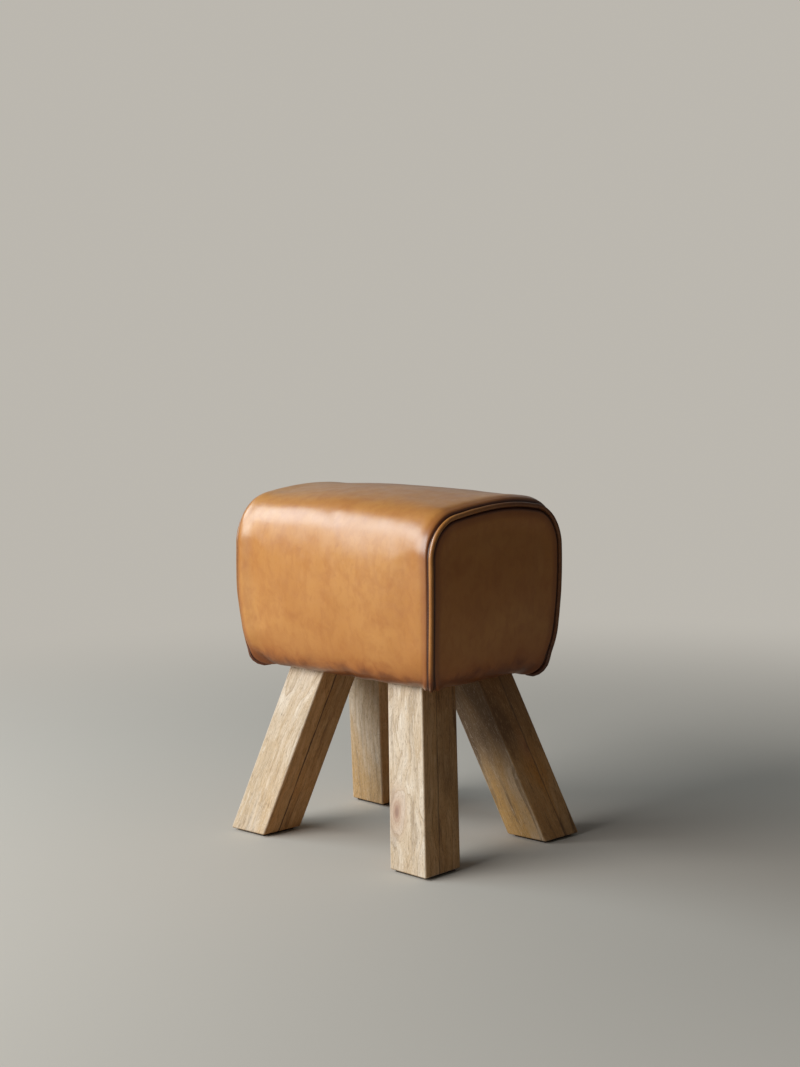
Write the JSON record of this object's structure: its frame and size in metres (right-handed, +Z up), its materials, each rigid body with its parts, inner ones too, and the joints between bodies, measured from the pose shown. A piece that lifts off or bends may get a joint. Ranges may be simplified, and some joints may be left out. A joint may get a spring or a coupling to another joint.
{
  "type": "shoe fitting stool",
  "caption": "Low leather-covered block seat with piped end panels, shaped like a short vaulting horse, on square wooden legs that splay outwards along the diagonals.",
  "frame": {"origin": "on the floor, under the middle of the seat", "axes": "+Z up; +X along the seat towards its right end panel; +Y towards the back long side; -Y is the front long side"},
  "size_m": [0.3696, 0.2856, 0.46],
  "materials": {
    "leather": "smooth semi-gloss tan leather, slightly mottled",
    "leg_wood": "pale limed wood with brown grain and knots, glued up from two boards",
    "plywood": "unfinished plywood and hardwood, hidden inside",
    "foam": "upholstery foam, hidden inside",
    "foot_pad": "matt black",
    "dust_cloth": "black lining cloth",
    "steel": "zinc plated"
  },
  "bodies": {
    "root": {"back_board": "plywood", "back_foam": "foam", "base_board": "plywood", "corner_block_back_left": "plywood", "corner_block_back_right": "plywood", "corner_block_front_left": "plywood", "corner_block_front_right": "plywood", "dust_cover": "dust_cloth", "foot_pad_back_left": "foot_pad", "foot_pad_back_right": "foot_pad", "foot_pad_front_left": "foot_pad", "foot_pad_front_right": "foot_pad", "front_board": "plywood", "front_foam": "foam", "hanger_bolts": "steel", "leather_wrap": "leather", "left_end_board": "plywood", "left_end_foam": "foam", "left_end_panel": "leather", "leg_back_left_inner_board": "leg_wood", "leg_back_left_outer_board": "leg_wood", "leg_back_right_inner_board": "leg_wood", "leg_back_right_outer_board": "leg_wood", "leg_front_left_inner_board": "leg_wood", "leg_front_left_outer_board": "leg_wood", "leg_front_right_inner_board": "leg_wood", "leg_front_right_outer_board": "leg_wood", "leg_tenons": "plywood", "piping_left": "leather", "piping_right": "leather", "right_end_board": "plywood", "right_end_foam": "foam", "right_end_panel": "leather", "tee_nuts": "steel", "top_board": "plywood", "top_foam": "foam"}
  },
  "joints": []
}
